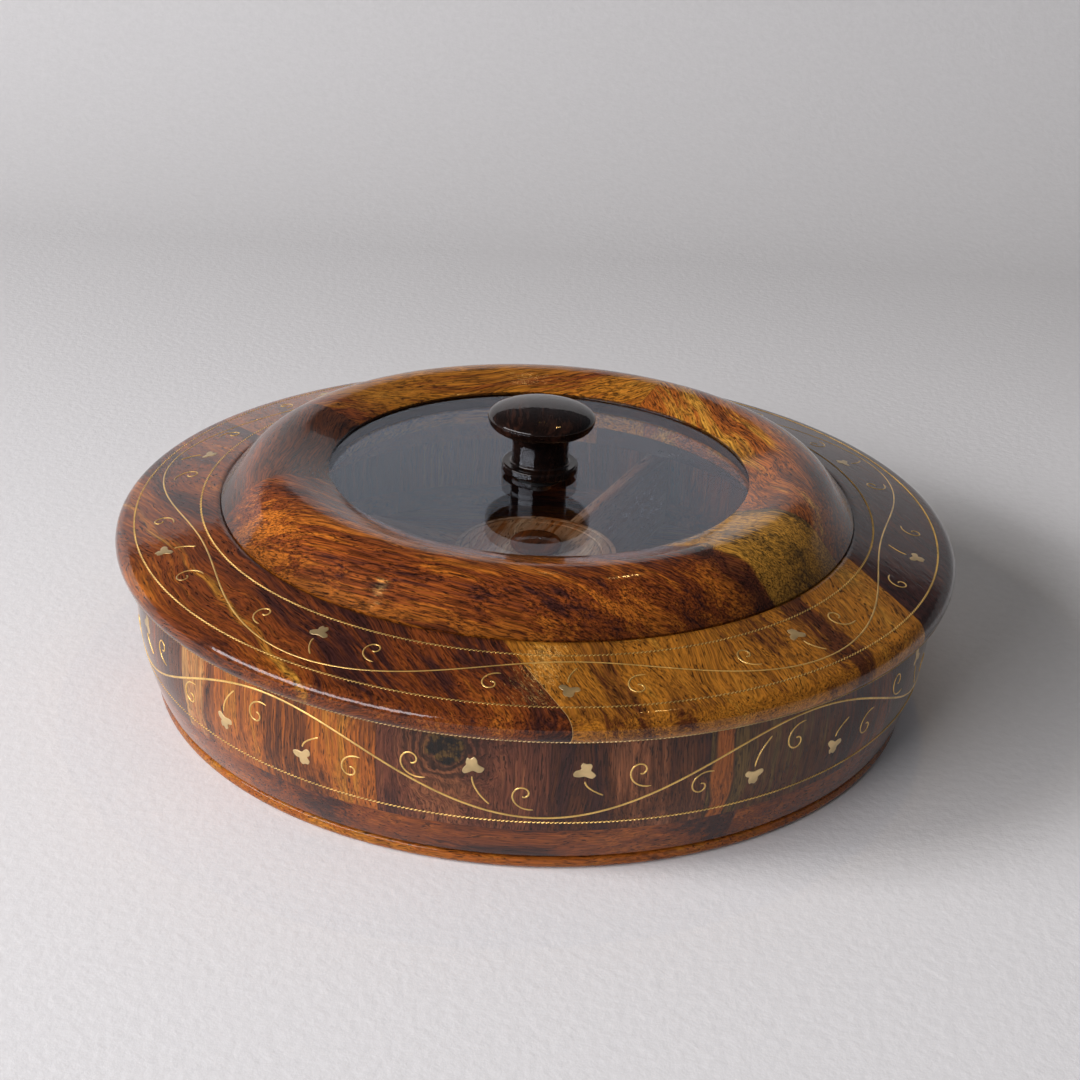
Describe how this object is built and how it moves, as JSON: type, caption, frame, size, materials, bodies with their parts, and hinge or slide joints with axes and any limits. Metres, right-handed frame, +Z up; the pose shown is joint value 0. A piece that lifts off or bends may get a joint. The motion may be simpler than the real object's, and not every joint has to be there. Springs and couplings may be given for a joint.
{
  "type": "spice box",
  "caption": "Round wooden spice box with four compartments, a small centre pot and a lift-off lid that has a glass window and a turned knob.",
  "frame": {"origin": "centre of the base board's underside, where the box's axis meets the table", "axes": "+Z up along the axis of the box, -Y towards the front, +X to the right as seen from the front"},
  "size_m": [0.254, 0.254, 0.0866],
  "materials": {
    "stave_wood": "gloss",
    "base_wood": "gloss",
    "ring_wood": "gloss",
    "brim_wood_light": "gloss",
    "brim_wood_dark": "gloss",
    "crown_wood": "gloss",
    "inner_wood": "satin",
    "brass_inlay": "polished",
    "window_glass": "polished",
    "knob_wood": "gloss",
    "screw_steel": "satin",
    "washer_rubber": "matte"
  },
  "bodies": {
    "box": {"base_board": "base_wood", "lower_ring": "ring_wood", "stave_1": "stave_wood", "stave_2": "stave_wood", "stave_3": "stave_wood", "stave_4": "stave_wood", "stave_5": "stave_wood", "stave_6": "stave_wood", "stave_7": "stave_wood", "stave_8": "stave_wood", "stave_9": "stave_wood", "stave_10": "stave_wood", "stave_11": "stave_wood", "stave_12": "stave_wood", "stave_13": "stave_wood", "stave_14": "stave_wood", "stave_15": "stave_wood", "stave_16": "stave_wood", "stave_17": "stave_wood", "stave_18": "stave_wood", "wall_border_wire": "brass_inlay", "wall_vine": "brass_inlay", "wall_tendrils": "brass_inlay", "wall_leaves": "brass_inlay", "divider_1": "inner_wood", "divider_2": "inner_wood", "divider_3": "inner_wood", "divider_4": "inner_wood", "centre_ring": "inner_wood"},
    "centre_pot_lid": {"centre_lid": "ring_wood", "centre_lid_button": "base_wood"},
    "lid": {"brim_board_1": "brim_wood_light", "brim_board_2": "brim_wood_dark", "brim_board_3": "brim_wood_light", "brim_board_4": "brim_wood_dark", "crown_board_1": "crown_wood", "crown_board_2": "crown_wood", "crown_board_3": "crown_wood", "crown_board_4": "crown_wood", "locating_ring": "inner_wood", "rim_rope_wire": "brass_inlay", "outer_border_wire": "brass_inlay", "inner_border_wire": "brass_inlay", "lid_vine": "brass_inlay", "lid_tendrils": "brass_inlay", "lid_leaves": "brass_inlay", "glass_pane": "window_glass", "glass_bead": "inner_wood", "knob": "knob_wood", "knob_screw": "screw_steel", "steel_washer": "screw_steel", "rubber_washer": "washer_rubber"}
  },
  "joints": [
    {"name": "lid_lift", "type": "slide", "parent": "box", "child": "lid", "axis": [0, 0, 1], "range_m": [0, 0.15]},
    {"name": "centre_lid_lift", "type": "slide", "parent": "box", "child": "centre_pot_lid", "axis": [0, 0, 1], "range_m": [0, 0.075]}
  ],
  "couplings": [
    {"joint": "centre_lid_lift", "follows": "lid_lift", "ratio": 0.5}
  ]
}
